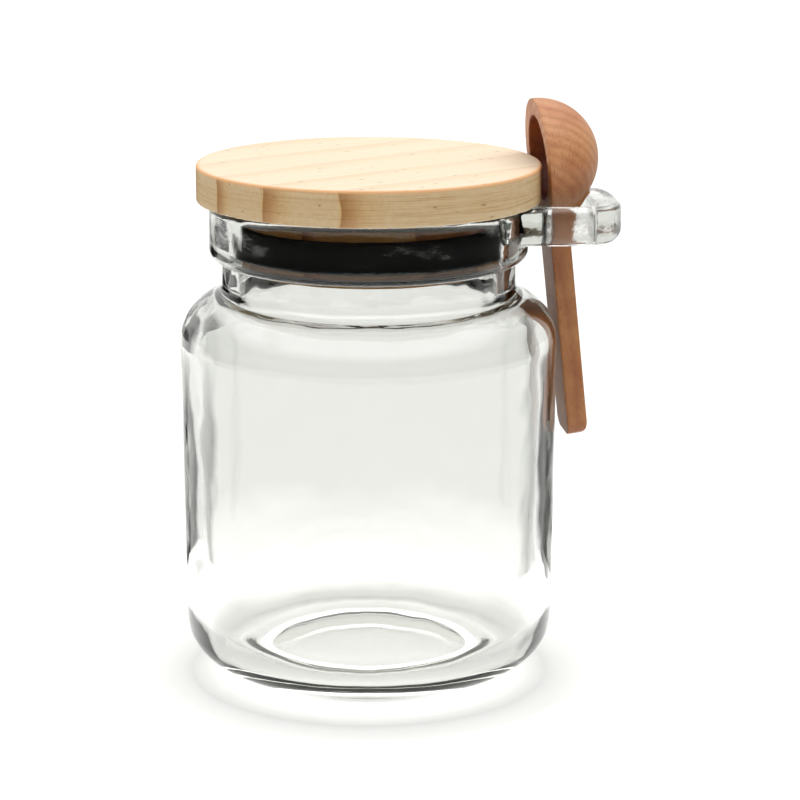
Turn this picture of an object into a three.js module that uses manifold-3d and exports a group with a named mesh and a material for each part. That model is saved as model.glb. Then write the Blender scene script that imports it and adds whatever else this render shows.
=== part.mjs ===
// Small glass jar with a glass ear at its collar, a wooden lid with a rubber ring,
// and a short wooden spoon that hangs in the ear. Millimetres, +Z up.
// The pieces are drawn about the jar's axis, with z = 0 on the surface that it stands on.
// At the end the group moves so that the origin is the middle of the whole object's footprint.
// +X points towards the ear and the spoon.

import * as THREE from 'three';
import { mergeVertices } from 'three/addons/utils/BufferGeometryUtils.js';
import Module from 'manifold-3d';

const wasm = await Module();
wasm.setup();

// Round parts
const TURN_STEPS = 64;
const ARC_STEP = THREE.MathUtils.degToRad(18);
const FEWEST_BEND_STEPS = 3;
const CURVE_STEPS = 5;
const MERGE_DISTANCE = 1e-3;
const SLIVER_WIDTH = 0.02;

// Jar, outside
const BODY_FOOT_RADIUS = 38.6;
const BODY_TOP_RADIUS = 39.0;
const HEEL_TOP = 13.5;
const HEEL_RADIUS = 10.5;
const HEEL_TURN = THREE.MathUtils.degToRad(65.5);
const STANDING_RING_INNER = 20.6;
const STANDING_RING_OUTER = 23.2;
const STANDING_EDGE_RADIUS = 3.0;
const PUSH_UP_HEIGHT = 1.7;
const PUSH_UP_TURN = 0.75;
const SHOULDER_START = 72.2;
const SHOULDER_REACH = 12.8;
const SHOULDER_RISE = 10.5;
const SHOULDER_END_ANGLE = THREE.MathUtils.degToRad(60);
const NECK_RADIUS = 30.4;
const NECK_START = 83.6;
const COLLAR_BOTTOM = 88.7;
const COLLAR_RADIUS = 32.9;
const COLLAR_EDGE_RADIUS = 2.5;
const RIM_TOP = 100.5;
const RIM_OUTER_EDGE = 1.6;
const RIM_INNER_EDGE = 1.1;

// Jar, inside
const BORE_RADIUS = 27.2;
const BORE_BOTTOM = 80.6;
const LIP_REACH = 1.6;
const LIP_START = BORE_BOTTOM + 1.2;
const LIP_TURN = BORE_BOTTOM - 1.1;
const LIP_END = BORE_BOTTOM - 1.5;
const CAVITY_TOP_RADIUS = 35.2;
const CAVITY_FOOT_RADIUS = 34.9;
const CAVITY_SHOULDER_START = 70.6;
const CAVITY_SHOULDER_TURN = BORE_BOTTOM - 3.1;
const CAVITY_HEEL_TOP = 15.5;
const CAVITY_HEEL_RADIUS = 8.6;
const FLOOR_EDGE_HEIGHT = 6.6;
const FLOOR_MIDDLE_HEIGHT = 7.7;
const FLOOR_TURN = 0.6;

// Glass ear with the slot for the spoon
const EAR_TURN = THREE.MathUtils.degToRad(4.42);
const EAR_BOTTOM = 92.7;
const EAR_TOP = 100.8;
const EAR_END = 51.6;
const EAR_HALF_WIDTH = 13.6;
const EAR_END_HALF_WIDTH = 13.2;
const EAR_SIDE_START = 38;
const EAR_CORNER_START = 45.2;
const EAR_CORNER_TURN = 51.1;
const EAR_FLAT_HALF_WIDTH = 4;
const EAR_ROOT_X = 24;
const EAR_ROOT_HALF_WIDTH = 17;
const EAR_ROOT_TURN_X = 32;
const EAR_ROOT_RADIUS = 30.2;
const EAR_TRIM_MARGIN = 1;
const EAR_LOW_EDGE = 3.0;
const EAR_LOW_EDGE_STEPS = 5;
const EAR_HIGH_EDGE = 1.3;
const EAR_HIGH_EDGE_STEPS = 3;
const SLOT_START = 34.2;
const SLOT_END = 45.9;
const SLOT_HALF_WIDTH = 10.3;
const SLOT_CORNER = 2.4;

// Lid, one piece of wood: a disc with a grooved plug under it
const LID_RADIUS = 35.4;
const LID_BOTTOM = 101.1;
const LID_TOP = 108.5;
const LID_EDGE = 0.6;
const PLUG_RADIUS = 25.5;
const PLUG_BOTTOM = 87.3;
const PLUG_EDGE = 0.8;

// Rubber ring round the plug
const FIT_GAP = 0.3;
const RING_RADIUS = BORE_RADIUS - FIT_GAP;
const RING_BOTTOM = 90.6;
const RING_TOP = 96.6;
const RING_EDGE = 0.9;
const GROOVE_DEPTH = 1.9;
const GROOVE_RADIUS = PLUG_RADIUS - GROOVE_DEPTH;

// Spoon: half a ball, hollowed from its flat side, on a flat handle
const BOWL_CENTRE = [34.88, 3.5, 108.9];
const BOWL_TURN = THREE.MathUtils.degToRad(8.3);
const BOWL_LEAN = THREE.MathUtils.degToRad(6.6);
const HANDLE_SWING = THREE.MathUtils.degToRad(2.6);
const BOWL_RADIUS = 12.35;
const BOWL_HOLLOW_RADIUS = 8.7;
const BOWL_STEPS = 40;
const BOWL_RINGS = 12;
const HANDLE_WIDTH = 11.0;
const HANDLE_THICKNESS = 4.2;
const HANDLE_LENGTH = 59.2;
const HANDLE_CORNER = 0.7;
const HANDLE_CORNER_STEPS = 2;
const HANDLE_TIP_RADIUS = 3.0;
const HANDLE_TIP_ROUND = 2.6;
const HANDLE_TIP_MARGIN = 1;
const NECK_BLEND_TOP = -7.5;
const NECK_BLEND_BOTTOM = -17.5;
const NECK_BLEND_DEPTH = 9.4;
const NECK_BLEND_TURN = HANDLE_THICKNESS + 0.6;

// Finishes
const glass = new THREE.MeshStandardMaterial({
  color: 0xe6ebe4, roughness: 0.05, metalness: 0, transparent: true, opacity: 0.4,
});
const pine = new THREE.MeshStandardMaterial({ color: 0xe8cfa6, roughness: 0.6, metalness: 0 });
const rubber = new THREE.MeshStandardMaterial({ color: 0x161714, roughness: 0.45, metalness: 0 });
const beech = new THREE.MeshStandardMaterial({ color: 0xa8683c, roughness: 0.6, metalness: 0 });

// Points on an arc of a circle or an ellipse, both ends included
function arc(centreR, centreZ, radiusR, radiusZ, from, to) {
  const steps = Math.max(2, Math.ceil(Math.abs(to - from) / ARC_STEP));
  const points = [];
  for (let i = 0; i <= steps; i += 1) {
    const angle = from + ((to - from) * i) / steps;
    points.push(new THREE.Vector2(
      centreR + radiusR * Math.cos(angle),
      centreZ + radiusZ * Math.sin(angle),
    ));
  }
  return points;
}

// Points on a smooth bend from one point to another, drawn towards a third
function corner(start, turn, end) {
  const before = turn.clone().sub(start);
  const after = end.clone().sub(turn);
  const steps = Math.max(FEWEST_BEND_STEPS, Math.ceil(before.angleTo(after) / ARC_STEP));
  const curve = new THREE.QuadraticBezierCurve(start, turn, end);
  return curve.getPoints(steps);
}

// A profile without points that repeat the one before them
function withoutRepeats(points) {
  const kept = [];
  for (const point of points) {
    const last = kept[kept.length - 1];
    if (!last || last.distanceTo(point) > MERGE_DISTANCE) kept.push(point);
  }
  return kept;
}

// A profile turned about the Z axis; its points are (radius, height)
function turned(points, steps) {
  const geometry = new THREE.LatheGeometry(withoutRepeats(points), steps);
  geometry.rotateX(Math.PI / 2);
  return geometry;
}

// Corner numbers of the triangles that have three different corners
function wholeTriangles(index) {
  const kept = [];
  for (let i = 0; i < index.length; i += 3) {
    const [a, b, c] = [index[i], index[i + 1], index[i + 2]];
    if (a !== b && b !== c && c !== a) kept.push(a, b, c);
  }
  return kept;
}

// A closed geometry as a solid that can be joined and cut
function toSolid(geometry) {
  const bare = geometry.clone();
  bare.deleteAttribute('normal');
  bare.deleteAttribute('uv');
  const merged = mergeVertices(bare, MERGE_DISTANCE);
  const mesh = new wasm.Mesh({
    numProp: 3,
    vertProperties: new Float32Array(merged.attributes.position.array),
    triVerts: new Uint32Array(wholeTriangles(merged.index.array)),
  });
  return new wasm.Manifold(mesh);
}

// A solid back as a geometry, without the slivers that joins and cuts leave
function toGeometry(solid) {
  const mesh = solid.simplify(SLIVER_WIDTH).getMesh();
  const geometry = new THREE.BufferGeometry();
  geometry.setAttribute('position', new THREE.BufferAttribute(mesh.vertProperties, 3));
  geometry.setIndex(new THREE.BufferAttribute(mesh.triVerts, 1));
  geometry.computeVertexNormals();
  return geometry;
}

// Outer outline of the jar, from the middle of the underside up to the rim
function jarOutside() {
  const heelCentre = BODY_FOOT_RADIUS - HEEL_RADIUS;
  const heel = arc(heelCentre, HEEL_TOP, HEEL_RADIUS, HEEL_RADIUS, -HEEL_TURN, 0);
  const standingCentre = STANDING_EDGE_RADIUS;
  const standing = arc(
    STANDING_RING_OUTER, standingCentre, STANDING_EDGE_RADIUS, STANDING_EDGE_RADIUS,
    -Math.PI / 2, -HEEL_TURN,
  );
  const pushUp = corner(
    new THREE.Vector2(0, PUSH_UP_HEIGHT),
    new THREE.Vector2(STANDING_RING_INNER * PUSH_UP_TURN, PUSH_UP_HEIGHT),
    new THREE.Vector2(STANDING_RING_INNER, 0),
  );
  const shoulderCentre = BODY_TOP_RADIUS - SHOULDER_REACH;
  const shoulder = arc(
    shoulderCentre, SHOULDER_START, SHOULDER_REACH, SHOULDER_RISE, 0, SHOULDER_END_ANGLE,
  );
  const shoulderEnd = shoulder[shoulder.length - 1];
  const slope = new THREE.Vector2(
    -SHOULDER_REACH * Math.sin(SHOULDER_END_ANGLE),
    SHOULDER_RISE * Math.cos(SHOULDER_END_ANGLE),
  );
  const reach = (NECK_RADIUS - shoulderEnd.x) / slope.x;
  const neckTurn = new THREE.Vector2(NECK_RADIUS, shoulderEnd.y + slope.y * reach);
  const neck = corner(shoulderEnd, neckTurn, new THREE.Vector2(NECK_RADIUS, NECK_START));
  const collarCentre = COLLAR_RADIUS - COLLAR_EDGE_RADIUS;
  const collar = arc(
    collarCentre, COLLAR_BOTTOM + COLLAR_EDGE_RADIUS, COLLAR_EDGE_RADIUS, COLLAR_EDGE_RADIUS,
    -Math.PI / 2, 0,
  );
  const rimOuter = arc(
    COLLAR_RADIUS - RIM_OUTER_EDGE, RIM_TOP - RIM_OUTER_EDGE, RIM_OUTER_EDGE, RIM_OUTER_EDGE,
    0, Math.PI / 2,
  );
  return [...pushUp, ...standing, ...heel, ...shoulder, ...neck, ...collar, ...rimOuter];
}

// Inner outline of the jar, from the rim down to the middle of the floor
function jarInside() {
  const rimInner = arc(
    BORE_RADIUS + RIM_INNER_EDGE, RIM_TOP - RIM_INNER_EDGE, RIM_INNER_EDGE, RIM_INNER_EDGE,
    Math.PI / 2, Math.PI,
  );
  const shoulder = corner(
    new THREE.Vector2(BORE_RADIUS + LIP_REACH, LIP_END),
    new THREE.Vector2(CAVITY_TOP_RADIUS, CAVITY_SHOULDER_TURN),
    new THREE.Vector2(CAVITY_TOP_RADIUS, CAVITY_SHOULDER_START),
  );
  const lip = corner(
    new THREE.Vector2(BORE_RADIUS, LIP_START),
    new THREE.Vector2(BORE_RADIUS, LIP_TURN),
    shoulder[0],
  );
  const heelCentre = CAVITY_FOOT_RADIUS - CAVITY_HEEL_RADIUS;
  const heel = arc(
    heelCentre, CAVITY_HEEL_TOP, CAVITY_HEEL_RADIUS, CAVITY_HEEL_TOP - FLOOR_EDGE_HEIGHT,
    0, -Math.PI / 2,
  );
  const floor = corner(
    heel[heel.length - 1],
    new THREE.Vector2(heelCentre * FLOOR_TURN, FLOOR_MIDDLE_HEIGHT),
    new THREE.Vector2(0, FLOOR_MIDDLE_HEIGHT),
  );
  return [...rimInner, ...lip, ...shoulder, ...heel, ...floor];
}

// Adds a rounded corner to a drawn outline: it bends towards the turn and stops at the end
function roundTo(path, turnX, turnY, endX, endY) {
  path.quadraticCurveTo(turnX, turnY, endX, endY);
}

// Plan of the ear: it starts wide inside the collar's wall and ends in two round corners
function earPlan() {
  const endY = EAR_END_HALF_WIDTH;
  const flatY = EAR_FLAT_HALF_WIDTH;
  const plan = new THREE.Shape();
  plan.moveTo(EAR_ROOT_X, -EAR_ROOT_HALF_WIDTH);
  roundTo(plan, EAR_ROOT_TURN_X, -EAR_HALF_WIDTH, EAR_SIDE_START, -EAR_HALF_WIDTH);
  plan.lineTo(EAR_CORNER_START, -endY);
  roundTo(plan, EAR_CORNER_TURN, -endY, EAR_END, -flatY);
  plan.lineTo(EAR_END, flatY);
  roundTo(plan, EAR_CORNER_TURN, endY, EAR_CORNER_START, endY);
  plan.lineTo(EAR_SIDE_START, EAR_HALF_WIDTH);
  roundTo(plan, EAR_ROOT_TURN_X, EAR_HALF_WIDTH, EAR_ROOT_X, EAR_ROOT_HALF_WIDTH);
  plan.closePath();
  plan.holes.push(slotPlan());
  return plan;
}

// Plan of the slot in the ear, a rectangle with round corners
function slotPlan() {
  const slot = new THREE.Path();
  const low = -SLOT_HALF_WIDTH;
  const high = SLOT_HALF_WIDTH;
  slot.moveTo(SLOT_START + SLOT_CORNER, low);
  slot.lineTo(SLOT_END - SLOT_CORNER, low);
  roundTo(slot, SLOT_END, low, SLOT_END, low + SLOT_CORNER);
  slot.lineTo(SLOT_END, high - SLOT_CORNER);
  roundTo(slot, SLOT_END, high, SLOT_END - SLOT_CORNER, high);
  slot.lineTo(SLOT_START + SLOT_CORNER, high);
  roundTo(slot, SLOT_START, high, SLOT_START, high - SLOT_CORNER);
  slot.lineTo(SLOT_START, low + SLOT_CORNER);
  roundTo(slot, SLOT_START, low, SLOT_START + SLOT_CORNER, low);
  return slot;
}

// Heights of the ear's levels, close together where its edges are rounded
function earHeights() {
  const heights = [];
  for (let i = 0; i <= EAR_LOW_EDGE_STEPS; i += 1) {
    const angle = (Math.PI / 2) * (i / EAR_LOW_EDGE_STEPS);
    heights.push(EAR_BOTTOM + EAR_LOW_EDGE * (1 - Math.cos(angle)));
  }
  for (let i = EAR_HIGH_EDGE_STEPS; i >= 0; i -= 1) {
    const angle = (Math.PI / 2) * (i / EAR_HIGH_EDGE_STEPS);
    heights.push(EAR_TOP - EAR_HIGH_EDGE * (1 - Math.cos(angle)));
  }
  return heights;
}

// How far an outline draws in at a height, with the edge's radius below and above
function edgeInset(height, lowRadius, highRadius) {
  const low = Math.max(0, lowRadius - (height - EAR_BOTTOM));
  const high = Math.max(0, highRadius - (EAR_TOP - height));
  const lowInset = lowRadius - Math.sqrt(lowRadius ** 2 - low ** 2);
  const highInset = highRadius - Math.sqrt(highRadius ** 2 - high ** 2);
  return lowInset + highInset;
}

// An outline's points moved to its left: an outer outline draws in and a hole widens
function movedLeft(outline, distance) {
  return outline.map((point, i) => {
    const before = outline[(i + outline.length - 1) % outline.length];
    const after = outline[(i + 1) % outline.length];
    const along = after.clone().sub(before).normalize();
    return new THREE.Vector2(point.x - along.y * distance, point.y + along.x * distance);
  });
}

// An outline's points once each, running the way that is asked for
function loop(points, clockwise) {
  const kept = withoutRepeats(points);
  if (kept[0].distanceTo(kept[kept.length - 1]) < MERGE_DISTANCE) kept.pop();
  return THREE.ShapeUtils.isClockWise(kept) === clockwise ? kept : kept.reverse();
}

// The ear, built up from levels, with its edges rounded below and above
function earGeometry() {
  const plan = earPlan().extractPoints(CURVE_STEPS);
  const outer = loop(plan.shape, false);
  const slot = loop(plan.holes[0], true);
  const count = outer.length + slot.length;
  const heights = earHeights();
  const positions = [];
  for (const height of heights) {
    const level = [
      ...movedLeft(outer, edgeInset(height, EAR_LOW_EDGE, EAR_HIGH_EDGE)),
      ...movedLeft(slot, edgeInset(height, EAR_HIGH_EDGE, EAR_HIGH_EDGE)),
    ];
    for (const point of level) positions.push(point.x, point.y, height);
  }
  const index = [];
  for (let level = 0; level < heights.length - 1; level += 1) {
    for (let i = 0; i < count; i += 1) {
      const start = i < outer.length ? 0 : outer.length;
      const size = i < outer.length ? outer.length : slot.length;
      const next = start + ((i - start + 1) % size);
      const [a, b] = [level * count + i, level * count + next];
      index.push(a, b, b + count, a, b + count, a + count);
    }
  }
  const top = (heights.length - 1) * count;
  for (const [a, b, c] of THREE.ShapeUtils.triangulateShape(outer, [slot])) {
    index.push(top + a, top + b, top + c, c, b, a);
  }
  const geometry = new THREE.BufferGeometry();
  geometry.setAttribute('position', new THREE.Float32BufferAttribute(positions, 3));
  geometry.setIndex(index);
  geometry.rotateZ(EAR_TURN);
  return geometry;
}

// Round bar that trims the ear's root, so that it ends inside the collar's wall
function rootTrim() {
  const length = EAR_TOP - EAR_BOTTOM + 2 * EAR_TRIM_MARGIN;
  const bar = new THREE.CylinderGeometry(EAR_ROOT_RADIUS, EAR_ROOT_RADIUS, length, TURN_STEPS);
  bar.rotateX(Math.PI / 2);
  bar.translate(0, 0, (EAR_TOP + EAR_BOTTOM) / 2);
  return bar;
}

// The jar, its collar and its ear are one piece of glass
function jarMesh() {
  const vessel = toSolid(turned([...jarOutside(), ...jarInside()], TURN_STEPS));
  const ear = toSolid(earGeometry()).subtract(toSolid(rootTrim()));
  const glassPiece = vessel.add(ear);
  const mesh = new THREE.Mesh(toGeometry(glassPiece), glass);
  mesh.name = 'jar';
  return mesh;
}

// The lid's outline, from the middle of the plug's underside round to the middle of the top
function lidMesh() {
  const grooveBottom = RING_BOTTOM - FIT_GAP;
  const grooveTop = RING_TOP + FIT_GAP;
  const profile = [
    new THREE.Vector2(0, PLUG_BOTTOM),
    new THREE.Vector2(PLUG_RADIUS - PLUG_EDGE, PLUG_BOTTOM),
    new THREE.Vector2(PLUG_RADIUS, PLUG_BOTTOM + PLUG_EDGE),
    new THREE.Vector2(PLUG_RADIUS, grooveBottom),
    new THREE.Vector2(GROOVE_RADIUS, grooveBottom),
    new THREE.Vector2(GROOVE_RADIUS, grooveTop),
    new THREE.Vector2(PLUG_RADIUS, grooveTop),
    new THREE.Vector2(PLUG_RADIUS, LID_BOTTOM),
    new THREE.Vector2(LID_RADIUS - LID_EDGE, LID_BOTTOM),
    new THREE.Vector2(LID_RADIUS, LID_BOTTOM + LID_EDGE),
    new THREE.Vector2(LID_RADIUS, LID_TOP - LID_EDGE),
    new THREE.Vector2(LID_RADIUS - LID_EDGE, LID_TOP),
    new THREE.Vector2(0, LID_TOP),
  ];
  const mesh = new THREE.Mesh(turned(profile, TURN_STEPS), pine);
  mesh.name = 'lid';
  return mesh;
}

// The rubber ring, with its outer edges cut back, sits in the plug's groove
function ringMesh() {
  const inner = GROOVE_RADIUS + FIT_GAP;
  const outer = RING_RADIUS - RING_EDGE;
  const profile = [
    new THREE.Vector2(inner, RING_BOTTOM),
    new THREE.Vector2(outer, RING_BOTTOM),
    new THREE.Vector2(RING_RADIUS, RING_BOTTOM + RING_EDGE),
    new THREE.Vector2(RING_RADIUS, RING_TOP - RING_EDGE),
    new THREE.Vector2(outer, RING_TOP),
    new THREE.Vector2(inner, RING_TOP),
    new THREE.Vector2(inner, RING_BOTTOM),
  ];
  const mesh = new THREE.Mesh(turned(profile, TURN_STEPS), rubber);
  mesh.name = 'ring';
  return mesh;
}

// Half a ball whose flat side faces -X, its pole on the X axis
function halfBall(radius) {
  const profile = [
    new THREE.Vector2(0, 0),
    ...arcOfBall(radius),
  ];
  const geometry = new THREE.LatheGeometry(withoutRepeats(profile), BOWL_STEPS);
  geometry.rotateZ(-Math.PI / 2);
  return geometry;
}

// Quarter circle from a ball's rim to its pole
function arcOfBall(radius) {
  const points = [];
  for (let i = 0; i <= BOWL_RINGS; i += 1) {
    const angle = (Math.PI / 2) * (i / BOWL_RINGS);
    points.push(new THREE.Vector2(radius * Math.cos(angle), radius * Math.sin(angle)));
  }
  return points;
}

// Handle seen from its broad side: a strip with a round tip, lying along -Z
function handleGeometry() {
  const half = HANDLE_WIDTH / 2;
  const tip = -HANDLE_LENGTH;
  const outline = new THREE.Shape();
  outline.moveTo(-half, 0);
  outline.lineTo(-half, tip + HANDLE_TIP_RADIUS);
  roundTo(outline, -half, tip, -half + HANDLE_TIP_RADIUS, tip);
  outline.lineTo(half - HANDLE_TIP_RADIUS, tip);
  roundTo(outline, half, tip, half, tip + HANDLE_TIP_RADIUS);
  outline.lineTo(half, 0);
  outline.closePath();
  const geometry = new THREE.ExtrudeGeometry(outline, {
    depth: HANDLE_THICKNESS - 2 * HANDLE_CORNER,
    curveSegments: CURVE_STEPS,
    bevelEnabled: true,
    bevelThickness: HANDLE_CORNER,
    bevelSize: HANDLE_CORNER,
    bevelOffset: -HANDLE_CORNER,
    bevelSegments: HANDLE_CORNER_STEPS,
  });
  geometry.translate(0, 0, HANDLE_CORNER);
  geometry.rotateX(Math.PI / 2);
  geometry.rotateZ(Math.PI / 2);
  return geometry;
}

// What is cut from the tip, which rounds off towards its outer face
function tipTrim() {
  const tip = -HANDLE_LENGTH;
  const outside = HANDLE_THICKNESS + HANDLE_TIP_MARGIN;
  const outline = new THREE.Shape();
  outline.moveTo(HANDLE_THICKNESS - HANDLE_TIP_ROUND, tip - HANDLE_TIP_MARGIN);
  outline.lineTo(HANDLE_THICKNESS - HANDLE_TIP_ROUND, tip);
  roundTo(outline, HANDLE_THICKNESS, tip, HANDLE_THICKNESS, tip + HANDLE_TIP_ROUND);
  outline.lineTo(outside, tip + HANDLE_TIP_ROUND);
  outline.lineTo(outside, tip - HANDLE_TIP_MARGIN);
  outline.closePath();
  const geometry = new THREE.ExtrudeGeometry(outline, {
    depth: 2 * HANDLE_WIDTH, curveSegments: CURVE_STEPS, bevelEnabled: false,
  });
  geometry.translate(0, 0, -HANDLE_WIDTH);
  geometry.rotateX(Math.PI / 2);
  return geometry;
}

// Thick throat where the handle runs into the ball, hollow towards the handle
function throatGeometry() {
  const outline = new THREE.Shape();
  outline.moveTo(0, NECK_BLEND_TOP);
  outline.lineTo(NECK_BLEND_DEPTH, NECK_BLEND_TOP);
  roundTo(
    outline, NECK_BLEND_TURN, (NECK_BLEND_TOP + NECK_BLEND_BOTTOM) / 2,
    HANDLE_THICKNESS - HANDLE_CORNER, NECK_BLEND_BOTTOM,
  );
  outline.lineTo(0, NECK_BLEND_BOTTOM);
  outline.closePath();
  const width = HANDLE_WIDTH - 2 * HANDLE_CORNER;
  const geometry = new THREE.ExtrudeGeometry(outline, {
    depth: width, curveSegments: CURVE_STEPS, bevelEnabled: false,
  });
  geometry.translate(0, 0, -width / 2);
  geometry.rotateX(Math.PI / 2);
  return geometry;
}

// The spoon is one piece of wood; its flat side faces the jar
function spoonMesh() {
  const ball = toSolid(halfBall(BOWL_RADIUS));
  const handle = toSolid(handleGeometry()).subtract(toSolid(tipTrim()));
  const throat = toSolid(throatGeometry());
  const hollow = toSolid(new THREE.SphereGeometry(BOWL_HOLLOW_RADIUS, BOWL_STEPS, BOWL_RINGS * 2));
  const wood = ball.add(handle).add(throat).subtract(hollow);
  const mesh = new THREE.Mesh(toGeometry(wood), beech);
  mesh.name = 'spoon';
  mesh.position.set(...BOWL_CENTRE);
  mesh.rotation.set(HANDLE_SWING, -BOWL_LEAN, BOWL_TURN, 'ZYX');
  return mesh;
}

const pieces = new THREE.Group();
pieces.add(jarMesh());
pieces.add(lidMesh());
pieces.add(ringMesh());
pieces.add(spoonMesh());

// The origin goes to the middle of the footprint
const box = new THREE.Box3().setFromObject(pieces, true);
pieces.position.x = -(box.min.x + box.max.x) / 2;
pieces.position.y = -(box.min.y + box.max.y) / 2;

const model = new THREE.Group();
model.add(pieces);

export default model;
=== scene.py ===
"""Looks for a small glass jar with a wooden lid, a rubber ring and a wooden spoon in a glass ear.

The pieces are made about the jar's axis, in millimetres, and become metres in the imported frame.
"""

import logging
import math
from collections.abc import Callable
from dataclasses import dataclass
from enum import Enum
from functools import partial

import bmesh
import bpy
from mathutils import Matrix, Vector, noise


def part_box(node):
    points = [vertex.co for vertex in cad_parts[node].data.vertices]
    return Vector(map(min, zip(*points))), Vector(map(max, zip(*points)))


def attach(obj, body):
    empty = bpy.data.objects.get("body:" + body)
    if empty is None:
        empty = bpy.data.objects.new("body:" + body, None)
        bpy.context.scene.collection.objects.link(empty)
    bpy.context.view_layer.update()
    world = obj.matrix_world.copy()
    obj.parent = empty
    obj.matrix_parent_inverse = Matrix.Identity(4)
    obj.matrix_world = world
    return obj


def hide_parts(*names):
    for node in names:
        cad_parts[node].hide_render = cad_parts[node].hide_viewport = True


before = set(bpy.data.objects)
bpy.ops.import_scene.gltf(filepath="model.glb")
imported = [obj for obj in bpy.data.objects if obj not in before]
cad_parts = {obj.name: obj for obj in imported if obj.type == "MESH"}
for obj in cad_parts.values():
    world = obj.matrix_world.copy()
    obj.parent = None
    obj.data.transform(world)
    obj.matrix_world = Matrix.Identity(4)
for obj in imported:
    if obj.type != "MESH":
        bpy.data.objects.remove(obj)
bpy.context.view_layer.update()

MM = 0.001
# Without a seed, the noise that makes the ear uneven follows the clock and changes each run.
NOISE_SEED = 7
LOG = logging.getLogger("honey jar")

Point = tuple[float, float]
Place = tuple[float, float, float]
Piece = bpy.types.Object
Finish = bpy.types.Material
Node = bpy.types.Node
BMesh = bmesh.types.BMesh

# Settings for a mix of two colours: the second laid over the first, or darkening it.
BLEND = {"data_type": "RGBA"}
TINT = {"data_type": "RGBA", "blend_type": "MULTIPLY"}


class Solver(Enum):
    """Blender's ways to join or cut solids, the first one tried first."""

    MANIFOLD = "MANIFOLD"
    EXACT = "EXACT"


def linear(colour: str) -> tuple[float, float, float, float]:
    """Turns an sRGB hex colour to a linear one.

    Args:
        colour: six hex digits, such as "E8CFA6".

    Returns:
        Red, green, blue and an alpha of 1.
    """
    parts = [int(colour[i:i + 2], 16) / 255 for i in (0, 2, 4)]
    turned = [c / 12.92 if c <= 0.04045 else ((c + 0.055) / 1.055) ** 2.4 for c in parts]
    return (*turned, 1.0)


def add_node(
    tree: bpy.types.NodeTree, kind: str, settings: dict | None = None, links: dict | None = None,
) -> Node:
    """Adds one node with its settings and links.

    Args:
        tree: the node tree that gets the node.
        kind: the node's type name without ShaderNode, then, after a space, its operation if any.
        settings: values by property name or by input name or number, colours as hex digits;
            "stops" fills a colour ramp.
        links: by the input that they feed, output sockets, or nodes for the first one in use.

    Returns:
        The new node.
    """
    kind, _, operation = kind.partition(" ")
    node = tree.nodes.new("ShaderNode" + kind)
    if operation:
        node.operation = operation
    for name, value in (settings or {}).items():
        if name == "stops":
            elements = node.color_ramp.elements
            while len(elements) < len(value):
                elements.new(1.0)
            for element, (place, colour) in zip(elements, value):
                element.position = place
                element.color = linear(colour)
        elif isinstance(name, str) and hasattr(node, name):
            setattr(node, name, value)
        else:
            node.inputs[name].default_value = linear(value) if isinstance(value, str) else value
    for name, source in (links or {}).items():
        if isinstance(source, Node):
            source = next(output for output in source.outputs if output.enabled)
        tree.links.new(source, node.inputs[name])
    return node


def new_material(name: str) -> tuple[Finish, Callable[..., Node]]:
    """Makes an empty material.

    Args:
        name: the real material's name.

    Returns:
        The material, and add_node for its tree.
    """
    material = bpy.data.materials.new(name)
    material.use_nodes = True
    material.node_tree.nodes.clear()
    return material, partial(add_node, material.node_tree)


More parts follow.
